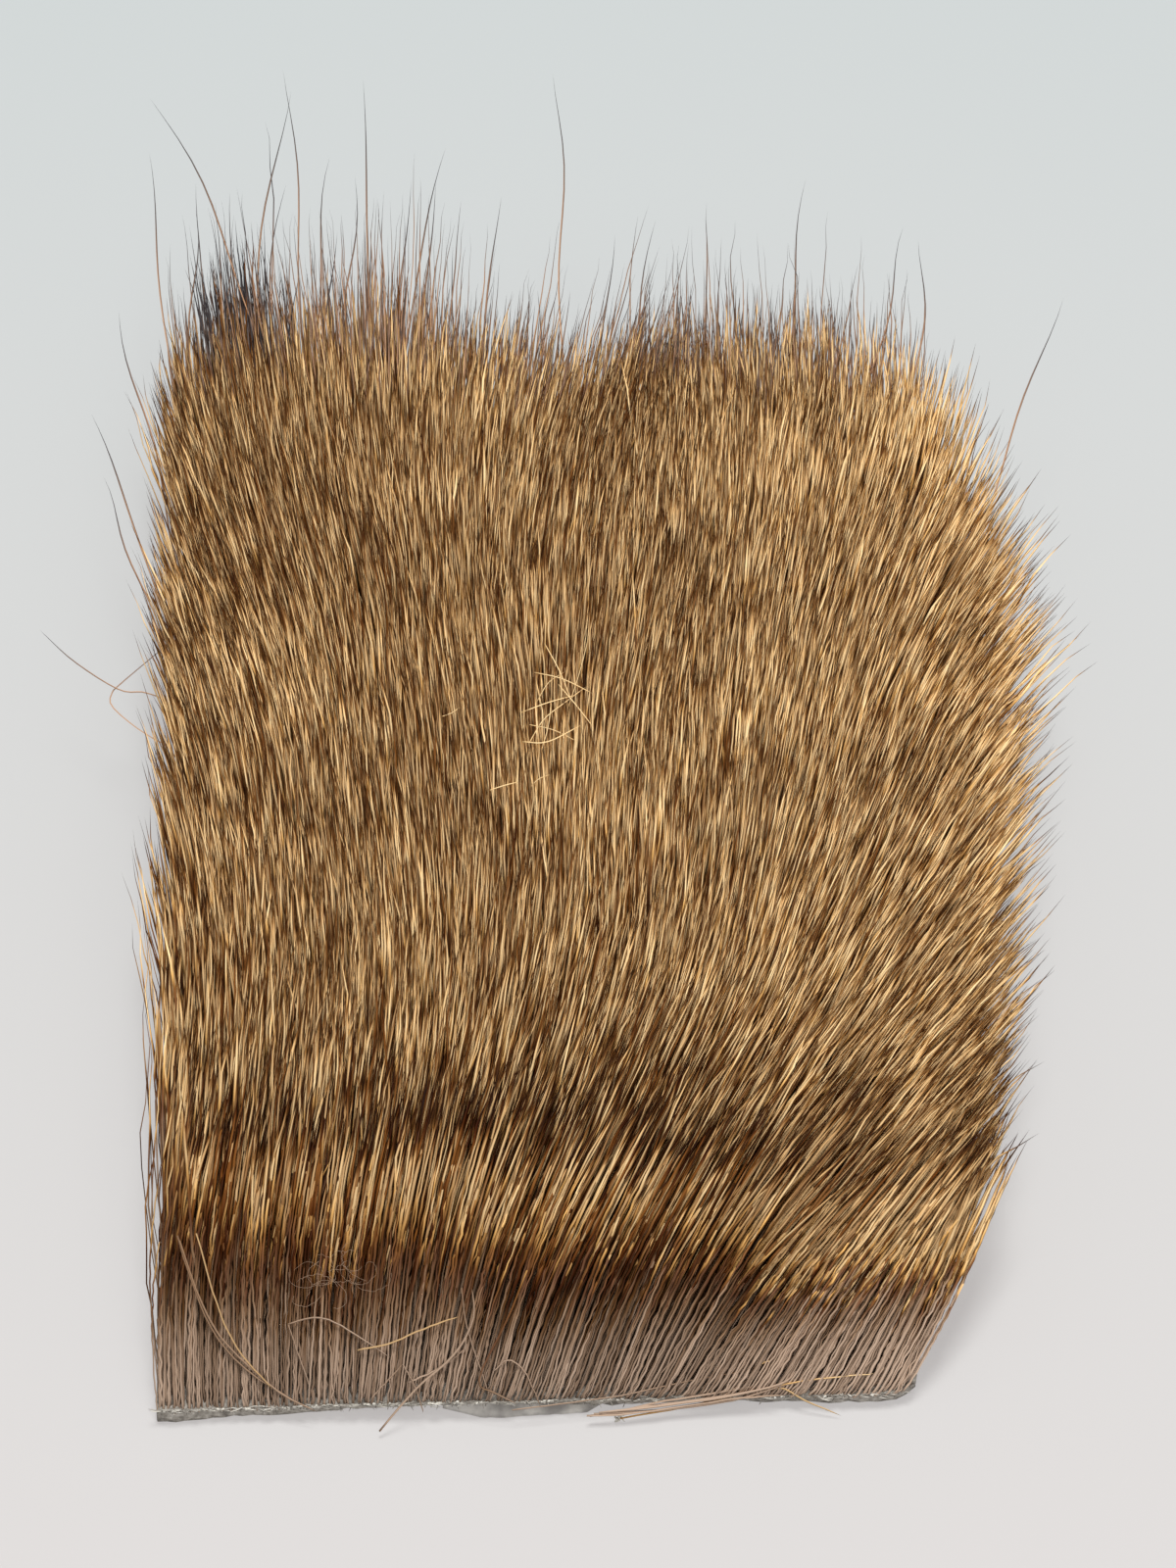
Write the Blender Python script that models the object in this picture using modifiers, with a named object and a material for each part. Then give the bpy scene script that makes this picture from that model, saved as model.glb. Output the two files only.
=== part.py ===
"""Deer hair patch: a small oblong cut from a tanned deer hide, with the hair left on.

The hide lies on the surface at z = 0 with its flesh side down. The hair is rooted all over its
top side, leans towards the back (+Y) and fans out to both sides (X). The origin is the middle of
the hide's underside. Every size is in metres and every angle in degrees.
"""

import math
import random
from collections import namedtuple

import bmesh
import bpy
from mathutils import Vector, noise

# The cut piece of hide
HIDE_WIDTH = 0.050
HIDE_LENGTH = 0.075
HIDE_THICKNESS = 0.0013
HIDE_COLUMNS = 20
HIDE_ROWS = 24
CURL_FADE = 0.16  # share of the length over which the curled-up front edge comes down again

# The front edge as it was cut, from left to right: how far it steps back, and how far it curls up
FrontEdge = namedtuple("FrontEdge", "across step_back curl_up")
FRONT_EDGE = (
    FrontEdge(0.00, 0.0000, 0.0000),
    FrontEdge(0.12, 0.0003, 0.0000),
    FrontEdge(0.28, 0.0004, 0.0005),
    FrontEdge(0.42, 0.0005, 0.0007),
    FrontEdge(0.58, 0.0009, 0.0003),
    FrontEdge(0.72, 0.0012, 0.0000),
    FrontEdge(0.90, 0.0013, 0.0000),
    FrontEdge(1.00, 0.0016, 0.0000),
)

# The two sides as they were cut, from front to back: how far each stands outside the nominal width
SideEdge = namedtuple("SideEdge", "along left right")
SIDE_EDGES = (
    SideEdge(0.00, 0.0000, 0.0000),
    SideEdge(0.25, -0.0002, 0.0004),
    SideEdge(0.50, -0.0006, 0.0009),
    SideEdge(0.75, -0.0002, 0.0013),
    SideEdge(1.00, 0.0012, 0.0016),
)

# The hair coat. A hair leaves the hide steeply and bends over towards its tip.
HAIR_LENGTH = 0.020
BODY_SHARE = 0.84  # share of a hair's length at which the closed coat ends and the locks begin
ROOT_PITCH = 52.0
TIP_PITCH = 15.0
BACK_DROP = 12.0  # how much flatter the hair lies at the back edge, where nothing props it up
BACK_DROP_FADE = 10  # the power by which that fades towards the front
SIDE_DROP = 8.0  # the same along the left and right edges
SIDE_DROP_FADE = 6
ROOT_MARGIN = 0.0004  # bare rim of hide outside the first roots
SEAT_GAP = 0.00032  # the coat and the hide are separate pieces, this far apart
COAT_COLUMNS = 30
COAT_ROWS = 32
COAT_LEVELS = 4

# How far the hair leans from straight back, positive to the right, at four places across the hide
Lean = namedtuple("Lean", "along left middle outer right")
LEANS = (
    Lean(0.00, -2.0, 4.0, 29.0, 24.0),
    Lean(0.35, -8.0, 3.0, 27.0, 31.0),
    Lean(0.65, -11.0, 2.0, 25.0, 32.0),
    Lean(0.85, -11.0, 1.0, 16.0, 28.0),
    Lean(1.00, -8.0, 0.0, 7.0, 16.0),
)
MIDDLE_AT = 0.45
OUTER_AT = 0.84

# Clumps and fine ribs that stand out of the coat's surface
CLUMP_HEIGHT = 0.0016
CLUMP_WIDTH = 0.0040
CLUMP_LENGTH = 0.0110
TOP_RIB_HEIGHT = 0.00018
WALL_RIB_DEPTH = 0.00030

# Locks at the rim: the range of their lengths, and how far they stand off the coat
Lock = namedtuple("Lock", "shortest longest stand")
LOCKS = {
    "front": Lock(0.0028, 0.0048, 0.0007),
    "side": Lock(0.0035, 0.0065, 0.0011),
    "edge": Lock(0.0035, 0.0065, 0.0007),
    "back": Lock(0.0045, 0.0085, 0.0007),
    "guard": Lock(0.0120, 0.0200, 0.0007),
}
LOCK_SEED = 11
BACK_LOCK_ROWS = 3
SIDE_LOCK_LEVELS = 2
SIDE_LOCK_STEP = 3  # every third row has a lock at the sides
GUARD_LOCK_ROW = COAT_ROWS - 2
GUARD_LOCK_COLUMNS = (1, 4, 6, 9, 14, 19, 24, 27)
WAIST_AT = 0.45  # where along a lock its narrowed middle lies
WAIST_WIDTH = 0.42  # width of that middle as a share of the lock's root
LOCK_SWAY = 0.06  # how far a lock's tip wanders, as a share of its length


def between(rows, key, column, at):
    """Reads one column of a table at a place between its rows, eased from row to row."""
    for low, high in zip(rows, rows[1:]):
        if at <= getattr(high, key):
            break
    start, end = getattr(low, key), getattr(high, key)
    share = min(max((at - start) / (end - start), 0.0), 1.0)
    share = share * share * (3 - 2 * share)
    return getattr(low, column) * (1 - share) + getattr(high, column) * share


def hide_underside(across, along):
    """The point of the hide's flesh side at these shares of its width and length."""
    left = -HIDE_WIDTH / 2 - between(SIDE_EDGES, "along", "left", along)
    right = HIDE_WIDTH / 2 + between(SIDE_EDGES, "along", "right", along)
    step_back = between(FRONT_EDGE, "across", "step_back", across) * (1 - along)
    fade = max(0.0, 1 - along / CURL_FADE) ** 2
    curl_up = between(FRONT_EDGE, "across", "curl_up", across) * fade
    x = left + (right - left) * across
    y = (along - 0.5) * HIDE_LENGTH + step_back
    return Vector((x, y, curl_up))


def hair_lean(across, along):
    """The hair's lean in radians, read across one row of four places."""
    left, middle, outer, right = (
        between(LEANS, "along", column, along) for column in ("left", "middle", "outer", "right")
    )
    if across < MIDDLE_AT:
        share = across / MIDDLE_AT
        lean = left + (middle - left) * share
    elif across < OUTER_AT:
        share = (across - MIDDLE_AT) / (OUTER_AT - MIDDLE_AT)
        lean = middle + (outer - middle) * share * share * (3 - 2 * share)
    else:
        share = (across - OUTER_AT) / (1 - OUTER_AT)
        lean = outer + (right - outer) * share
    return math.radians(lean)


def hair_pitches(across, along):
    """The hair's slope above the surface at its root and at its tip, in radians."""
    drop = BACK_DROP * along**BACK_DROP_FADE + SIDE_DROP * abs(2 * across - 1) ** SIDE_DROP_FADE
    return math.radians(ROOT_PITCH - drop), math.radians(TIP_PITCH - drop)


def hair_point(across, along, share):
    """The point at this share of the length of the hair rooted at (across, along)."""
    margin_x, margin_y = ROOT_MARGIN / HIDE_WIDTH, ROOT_MARGIN / HIDE_LENGTH
    root = hide_underside(
        margin_x + across * (1 - 2 * margin_x), margin_y + along * (1 - 2 * margin_y)
    )
    root.z += HIDE_THICKNESS + SEAT_GAP
    root_pitch, tip_pitch = hair_pitches(across, along)
    bend = tip_pitch - root_pitch
    here = root_pitch + bend * share
    run = HAIR_LENGTH * (math.sin(here) - math.sin(root_pitch)) / bend
    rise = HAIR_LENGTH * (math.cos(root_pitch) - math.cos(here)) / bend
    lean = hair_lean(across, along)
    return root + Vector((run * math.sin(lean), run * math.cos(lean), rise))


def hair_heading(across, along):
    """The unit direction in which the hair leaves the closed coat."""
    step = hair_point(across, along, 1.0) - hair_point(across, along, BODY_SHARE)
    return step.normalized()


def clump_height(point):
    """How far the coat stands out or sinks in at a point of its top, in clumps drawn out along it."""
    wave = noise.noise(Vector((point.x / CLUMP_WIDTH, point.y / CLUMP_LENGTH, 0.0)))
    return CLUMP_HEIGHT * wave


def new_object(name, bm, material, collection):
    """Puts a finished bmesh into the scene as one named object with its material."""
    mesh = bpy.data.meshes.new(name)
    bm.to_mesh(mesh)
    bm.free()
    mesh.materials.append(material)
    obj = bpy.data.objects.new(name, mesh)
    collection.objects.link(obj)
    return obj


def new_material(name, colour, roughness):
    """A plain Principled material; none of the pieces is metal."""
    material = bpy.data.materials.new(name)
    material.use_nodes = True
    shader = material.node_tree.nodes["Principled BSDF"]
    shader.inputs["Base Color"].default_value = (*colour, 1.0)
    shader.inputs["Roughness"].default_value = roughness
    shader.inputs["Metallic"].default_value = 0.0
    return material


def build_hide(collection):
    """The hide: one sheet with its cut outline, its curled front edge and its real thickness."""
    bm = bmesh.new()
    bmesh.ops.create_grid(bm, x_segments=HIDE_COLUMNS, y_segments=HIDE_ROWS, size=0.5)
    for vert in bm.verts:
        vert.co = hide_underside(vert.co.x + 0.5, vert.co.y + 0.5)
    material = new_material("tanned_hide", (0.56, 0.54, 0.50), 0.8)
    hide = new_object("hide", bm, material, collection)
    solidify = hide.modifiers.new("thickness", "SOLIDIFY")
    solidify.thickness = HIDE_THICKNESS
    solidify.offset = 1.0
    return hide


def standing_block():
    """A unit block of columns, rows and levels, whose coordinates are shares across, along and up."""
    bm = bmesh.new()
    bmesh.ops.create_grid(bm, x_segments=COAT_COLUMNS, y_segments=COAT_ROWS, size=0.5)
    bmesh.ops.translate(bm, vec=(0.5, 0.5, 0.0), verts=bm.verts)
    layer = [*bm.verts, *bm.edges, *bm.faces]
    for _ in range(COAT_LEVELS):
        layer = bmesh.ops.extrude_face_region(bm, geom=layer)["geom"]
        verts = [item for item in layer if isinstance(item, bmesh.types.BMVert)]
        bmesh.ops.translate(bm, vec=(0.0, 0.0, 1 / COAT_LEVELS), verts=verts)
    return bm


def lock_sites(bm):
    """The unit block's faces that carry a lock, each with its place across and along and its kind."""
    last_row = COAT_ROWS - BACK_LOCK_ROWS
    outer_columns = (0, COAT_COLUMNS - 1)
    sites = []
    for face in bm.faces:
        across, along, up = face.calc_center_median()
        column, row, level = (
            int(across * COAT_COLUMNS),
            int(along * COAT_ROWS),
            int(up * COAT_LEVELS),
        )
        on_top = level == COAT_LEVELS
        on_side = column == COAT_COLUMNS or across < 0.1 / COAT_COLUMNS
        kind = None
        if on_top and row >= last_row:
            guard = row == GUARD_LOCK_ROW and column in GUARD_LOCK_COLUMNS
            kind = "guard" if guard else "back"
        elif on_top and row == column % 2:
            kind = "front"
        elif on_top and column in outer_columns and row % SIDE_LOCK_STEP == 1:
            kind = "edge"
        elif on_side and level >= COAT_LEVELS - SIDE_LOCK_LEVELS and row < last_row:
            kind = "side" if (row + level) % SIDE_LOCK_STEP == 0 else None
        if kind:
            sites.append((face, across, along, kind))
    return sites


def comb_block(bm):
    """Leans the unit block over into the coat, and raises its clumps and the ribs of its walls."""
    for vert in bm.verts:
        across, along, up = vert.co
        column, row = round(across * COAT_COLUMNS), round(along * COAT_ROWS)
        point = hair_point(across, along, up * BODY_SHARE)
        point.z += (clump_height(point) + TOP_RIB_HEIGHT * (column % 2)) * up
        if row == 0:
            point.y += WALL_RIB_DEPTH * (column % 2) * up
        elif column in (0, COAT_COLUMNS):
            point.x += math.copysign(WALL_RIB_DEPTH * (row % 2) * up, 0.5 - across)
        vert.co = point


def lock_steps(across, along, kind, draw):
    """The steps from a lock's root face to its middle and to its tip."""
    lock = LOCKS[kind]
    length = draw.uniform(lock.shortest, lock.longest)
    if kind == "side":
        outward = math.copysign(1.0, across - 0.5)
        stand = Vector((outward, 0.0, 0.0))
        sway = Vector((outward * draw.uniform(0, 1), 0.0, -draw.uniform(0, 1)))
    else:
        stand = Vector((0.0, 0.0, 1.0))
        sway = Vector((draw.uniform(-1, 1), 0.0, draw.uniform(0, 1)))
    heading = hair_heading(across, along) * length
    middle = heading * WAIST_AT + stand * lock.stand
    tip = heading + stand * lock.stand * 1.5 + sway * length * LOCK_SWAY
    return middle, tip


def draw_locks(bm, sites):
    """Draws each site's face out into a tapered four-sided lock that ends in a point."""
    draw = random.Random(LOCK_SEED)
    for face, across, along, kind in sites:
        to_middle, to_tip = lock_steps(across, along, kind, draw)
        root = face.calc_center_median()
        waist = bmesh.ops.extrude_discrete_faces(bm, faces=[face])["faces"][0]
        for vert in waist.verts:
            vert.co = root + to_middle + (vert.co - root) * WAIST_WIDTH
        end = bmesh.ops.extrude_discrete_faces(bm, faces=[waist])["faces"][0]
        bmesh.ops.pointmerge(bm, verts=list(end.verts), merge_co=root + to_tip)


def build_coat(collection):
    """The hair coat: one lumpy body leaning off the hide, with locks round its rim."""
    bm = standing_block()
    sites = lock_sites(bm)
    comb_block(bm)
    draw_locks(bm, sites)
    bmesh.ops.recalc_face_normals(bm, faces=bm.faces)
    material = new_material("deer_hair", (0.42, 0.27, 0.12), 0.55)
    return new_object("hair_coat", bm, material, collection)


def main():
    for obj in list(bpy.data.objects):
        bpy.data.objects.remove(obj)
    collection = bpy.data.collections.new("deer_hair_patch")
    bpy.context.scene.collection.children.link(collection)
    build_hide(collection)
    build_coat(collection)


main()
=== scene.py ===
import math

import bpy
import numpy as np
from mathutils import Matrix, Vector, noise


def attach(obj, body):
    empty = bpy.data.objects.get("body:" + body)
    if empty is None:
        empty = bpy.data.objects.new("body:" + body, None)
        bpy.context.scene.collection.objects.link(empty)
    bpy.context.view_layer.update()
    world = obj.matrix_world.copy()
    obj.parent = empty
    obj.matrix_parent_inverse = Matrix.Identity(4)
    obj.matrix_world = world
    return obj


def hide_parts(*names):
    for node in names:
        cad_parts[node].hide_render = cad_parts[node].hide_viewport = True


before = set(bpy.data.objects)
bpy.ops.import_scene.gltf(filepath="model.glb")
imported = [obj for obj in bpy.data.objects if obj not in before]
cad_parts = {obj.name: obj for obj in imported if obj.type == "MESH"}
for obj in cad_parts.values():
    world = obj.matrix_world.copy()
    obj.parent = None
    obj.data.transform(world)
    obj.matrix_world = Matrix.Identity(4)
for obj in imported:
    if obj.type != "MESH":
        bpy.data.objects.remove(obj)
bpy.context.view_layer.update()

mm = 0.001

# The cut hide, with the same outline as the CAD solid (metres and shares)
patch = {
    "width": 0.050,
    "length": 0.075,
    "thickness": 0.0013,
    "curlFade": 0.16,
    "cornerCut": 0.0009,
    # across, how far the front edge steps back, how far it curls up
    "frontEdge": [
        (0.00, 0.0000, 0.0000), (0.12, 0.0003, 0.0000), (0.28, 0.0004, 0.0005),
        (0.42, 0.0005, 0.0007), (0.58, 0.0009, 0.0003), (0.72, 0.0012, 0.0000),
        (0.90, 0.0013, 0.0000), (1.00, 0.0016, 0.0000),
    ],
    # along, how far the left and the right side stand outside the nominal width
    "sideEdges": [
        (0.00, 0.0000, 0.0000), (0.25, -0.0002, 0.0004), (0.50, -0.0006, 0.0009),
        (0.75, -0.0002, 0.0013), (1.00, 0.0012, 0.0016),
    ],
}
wide, deep = 50, 75  # the same width and length in millimetres

# How a hair leaves the hide and lies over, the same curve as the CAD coat (degrees)
lay = {
    "rootPitch": 52.0,
    "tipPitch": 15.0,
    "backDrop": 12.0,
    "sideDrop": 8.0,
    "turnFrom": 0.20,
    "turnTo": 0.65,
    # how the coat is combed: lean from straight back at these places across (columns) and along
    # the hide (rows), once at the roots and once at the tips
    "across": [0.0, 0.15, 0.30, 0.45, 0.60, 0.70, 0.85, 1.0],
    "along": [0.0, 0.12, 0.25, 0.40, 0.55, 0.70, 0.85, 1.0],
    "rootLean": [
        [-1, 1, 10, 22, 32, 46, 44, 37],
        [-6, 5, 8, 14, 20, 28, 30, 14],
        [-1, 0, 0, 5, 5, 10, 23, 16],
        [4, -3, -2, 0, 5, 4, 14, 20],
        [3, -7, -4, -3, 8, 6, 15, 24],
        [0, -8, -6, 3, 4, 5, 15, 26],
        [-2, -6, -3, 8, 6, 2, 7, 17],
        [-6, -7, -1, 4, 5, 0, 4, 8],
    ],
    "tipLean": [
        [10, 11, 14, 29, 32, 46, 42, 22],
        [0, 4, 5, 16, 26, 35, 45, 38],
        [-11, -5, -7, 5, 2, 11, 37, 43],
        [-16, -8, -7, -5, 6, 2, 16, 41],
        [-19, -18, -8, -7, 15, 5, 18, 44],
        [-18, -18, -10, 6, 6, 5, 18, 38],
        [-16, -9, -3, 14, 10, 0, 5, 14],
        [-4, -10, 0, 5, 9, -3, 1, 2],
    ],
}


def fadeIn(value, start, span):
    # 0 up to this start, then up to 1 over the span
    return np.clip((value - start) / span, 0, 1)


def fadeOut(value, span, top=1.0):
    # from the top at zero down to 0, cut off at 1
    return np.clip(top - value / span, 0, 1)


def bell(value, centre, width):
    return np.exp(-(((value - centre) / width) ** 2))


def readTable(rows, column, at):
    # one column of a table at a place between its rows, eased from row to row
    rows = np.array(rows, float)
    at = np.clip(at, rows[0, 0], rows[-1, 0])
    row = np.clip(np.searchsorted(rows[:, 0], at) - 1, 0, len(rows) - 2)
    t = (at - rows[row, 0]) / (rows[row + 1, 0] - rows[row, 0])
    t = t * t * (3 - 2 * t)
    return rows[row, column] * (1 - t) + rows[row + 1, column] * t


def hidePoint(across, along):
    # points of the flesh side at these shares of the width and length
    left = -patch["width"] / 2 - readTable(patch["sideEdges"], 1, along)
    right = patch["width"] / 2 + readTable(patch["sideEdges"], 2, along)
    stepBack = readTable(patch["frontEdge"], 1, across) * (1 - along)
    fade = np.maximum(0, 1 - along / patch["curlFade"]) ** 2
    z = readTable(patch["frontEdge"], 2, across) * fade
    x = left + (right - left) * across
    y = (along - 0.5) * patch["length"] + stepBack
    return np.stack([x, y, z], -1)


def cornerCut(across):
    # how far the cut rounds off the front corner at the right
    return patch["cornerCut"] * fadeIn(across, 0.965, 0.035) ** 2


def combed(which, across, along):
    # the lean of the combing table at these places, in degrees
    table, columns, rows = (np.array(lay[key], float) for key in (which, "across", "along"))
    i = np.clip(np.searchsorted(columns, across) - 1, 0, len(columns) - 2)
    j = np.clip(np.searchsorted(rows, along) - 1, 0, len(rows) - 2)
    u = (across - columns[i]) / (columns[i + 1] - columns[i])
    v = (along - rows[j]) / (rows[j + 1] - rows[j])
    near = table[j, i] * (1 - u) + table[j, i + 1] * u
    far = table[j + 1, i] * (1 - u) + table[j + 1, i + 1] * u
    return near * (1 - v) + far * v


def hairLean(across, along):
    return (combed("rootLean", across, along) + combed("tipLean", across, along)) / 2


def hairPath(across, along, shares, length, pitchTurn=0.0, leanTurn=0.0, lift=0.0012):
    # hairs by rows, points along each hair by columns: a steep root that bends over to its tip
    # and turns from the root's lean to the tip's lean on its way
    steps = 36
    middle = (np.arange(steps) + 0.5) / steps
    drop = lay["backDrop"] * along**10 + lay["sideDrop"] * np.abs(2 * across - 1) ** 6
    rootPitch = lay["rootPitch"] - drop + pitchTurn
    bend = lay["tipPitch"] - lay["rootPitch"]
    pitch = np.radians(rootPitch[:, None] + bend * middle)
    turn = fadeIn(middle, lay["turnFrom"], lay["turnTo"] - lay["turnFrom"])
    turn = turn * turn * (3 - 2 * turn)
    rootLean = combed("rootLean", across, along)
    change = combed("tipLean", across, along) - rootLean
    lean = np.radians((rootLean + leanTurn)[:, None] + change[:, None] * turn)
    step = [np.cos(pitch) * np.sin(lean), np.cos(pitch) * np.cos(lean), np.sin(pitch)]
    length = np.broadcast_to(length, across.shape)
    walk = np.cumsum(np.stack(step, -1), 1) * (length / steps)[:, None, None]
    walk = np.concatenate([np.zeros((len(across), 1, 3)), walk], 1)
    at = np.asarray(shares, float) * steps
    k = np.clip(np.floor(at).astype(int), 0, steps - 1)
    t = (at - k)[None, :, None]
    path = walk[:, k] * (1 - t) + walk[:, k + 1] * t
    path[:, :, 2] += lift
    return hidePoint(across, along)[:, None, :] + path


def softNoise(x, y, cell, seed):
    # smooth random field from -1 to 1 over millimetres, its bumps one cell apart
    table = np.random.default_rng(seed).uniform(-1, 1, (64, 64))
    x, y = x / cell + 20.37, y / cell + 20.71
    i, j = np.floor(x).astype(int), np.floor(y).astype(int)
    u, v = x - i, y - j
    u, v = u * u * (3 - 2 * u), v * v * (3 - 2 * v)
    low = table[i % 64, j % 64] * (1 - u) + table[(i + 1) % 64, j % 64] * u
    high = table[i % 64, (j + 1) % 64] * (1 - u) + table[(i + 1) % 64, (j + 1) % 64] * u
    return low * (1 - v) + high * v


def srgb(code):
    # hex colour to linear
    parts = [int(code[k : k + 2], 16) / 255 for k in (1, 3, 5)]
    return tuple(c / 12.92 if c <= 0.04045 else ((c + 0.055) / 1.055) ** 2.4 for c in parts) + (1,)


def setSockets(tree, node, sockets):
    # a socket takes a link or a value
    for key, value in sockets.items():
        if isinstance(value, bpy.types.NodeSocket):
            tree.links.new(value, node.inputs[key])
        else:
            node.inputs[key].default_value = value


def addNode(tree, kind, sockets=None, **settings):
    # one node with its settings, its values and the links into it
    node = tree.nodes.new("ShaderNode" + kind)
    for key, value in settings.items():
        if key == "stops":
            ramp = node.color_ramp
            while len(ramp.elements) < len(value):
                ramp.elements.new(1.0)
            for element, (place, code) in zip(ramp.elements, value):
                element.position = place
                element.color = srgb(code)
        else:
            setattr(node, key, value)
    setSockets(tree, node, sockets or {})
    return node


def newMaterial(name, sockets):
    material = bpy.data.materials.new(name)
    material.use_nodes = True
    shader = material.node_tree.nodes["Principled BSDF"]
    setSockets(material.node_tree, shader, sockets)
    return material, material.node_tree, shader


def strandCoords(tree):
    # the map of a strand: X holds the tone, Y the place from root to tip
    strandMap = addNode(tree, "UVMap", uv_map="OFBake")
    return addNode(tree, "SeparateXYZ", {"Vector": strandMap.outputs["UV"]}).outputs


def paint(piece, material):
    piece.data.materials.clear()
    piece.data.materials.append(material)


# Winter coat hair of a deer, left as it grew: hollow, grey at the root, a dark band, a gold band
# and a thin black tip, with hardly any shine
hairLook = {
    "specular": 0.05,
    "ior": 1.55,  # keratin
    "roughRoot": 0.62,
    "roughTip": 0.42,
    "guardRough": 0.48,
    "paleBands": [
        (0.00, "#C0A996"), (0.25, "#B29A86"), (0.38, "#94775D"), (0.47, "#74503A"),
        (0.565, "#86592E"), (0.620, "#E8B66E"), (0.70, "#FFE1AC"), (0.825, "#F8CC8E"),
        (0.87, "#A0713C"), (0.91, "#583618"), (1.00, "#2C140A"),
    ],
    "darkBands": [
        (0.00, "#8C7664"), (0.25, "#725C4A"), (0.38, "#503419"), (0.48, "#2A1002"),
        (0.57, "#381602"), (0.62, "#522808"), (0.71, "#724314"), (0.82, "#66370C"),
        (0.87, "#421C04"), (0.92, "#2E1002"), (1.00, "#1A0A03"),
    ],
    "guardBands": [
        (0.00, "#CAA68C"), (0.48, "#BE9676"), (0.70, "#9C7A62"),
        (0.84, "#5D5553"), (0.92, "#444042"), (1.00, "#2F2C2E"),
    ],
}
keratin = {"Specular IOR Level": hairLook["specular"], "IOR": hairLook["ior"]}
deerHair, tree, shader = newMaterial("deerHairNatural", keratin)
strand = strandCoords(tree)
pale = addNode(tree, "ValToRGB", {"Fac": strand["Y"]}, stops=hairLook["paleBands"])
dark = addNode(tree, "ValToRGB", {"Fac": strand["Y"]}, stops=hairLook["darkBands"])
toneMix = {0: strand["X"], 6: dark.outputs["Color"], 7: pale.outputs["Color"]}
tone = addNode(tree, "Mix", toneMix, data_type="RGBA")
rough = {"Value": strand["Y"], "To Min": hairLook["roughRoot"], "To Max": hairLook["roughTip"]}
gloss = addNode(tree, "MapRange", rough)
setSockets(tree, shader, {"Base Color": tone.outputs[2], "Roughness": gloss.outputs["Result"]})

# Long guard hair of a deer, left as it grew: thin and rosy tan, with a slate tip
guardHair, tree, shader = newMaterial("deerGuardHairNatural", keratin)
strand = strandCoords(tree)
guardTone = addNode(tree, "ValToRGB", {"Fac": strand["Y"]}, stops=hairLook["guardBands"])
guardSkin = {"Base Color": guardTone.outputs["Color"], "Roughness": hairLook["guardRough"]}
setSockets(tree, shader, guardSkin)

# Strands: closed three-sided hairs, many in one mesh. Each has its own narrow column in the map.
mapLook = {
    "left": 0.01,
    "toneSpan": 0.955,
    "hairWidth": 0.024,
    "low": 0.004,
    "lengthSpan": 0.988,
    "rootFace": 0.006,  # keeps some area in the map for the root's end face
}


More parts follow.
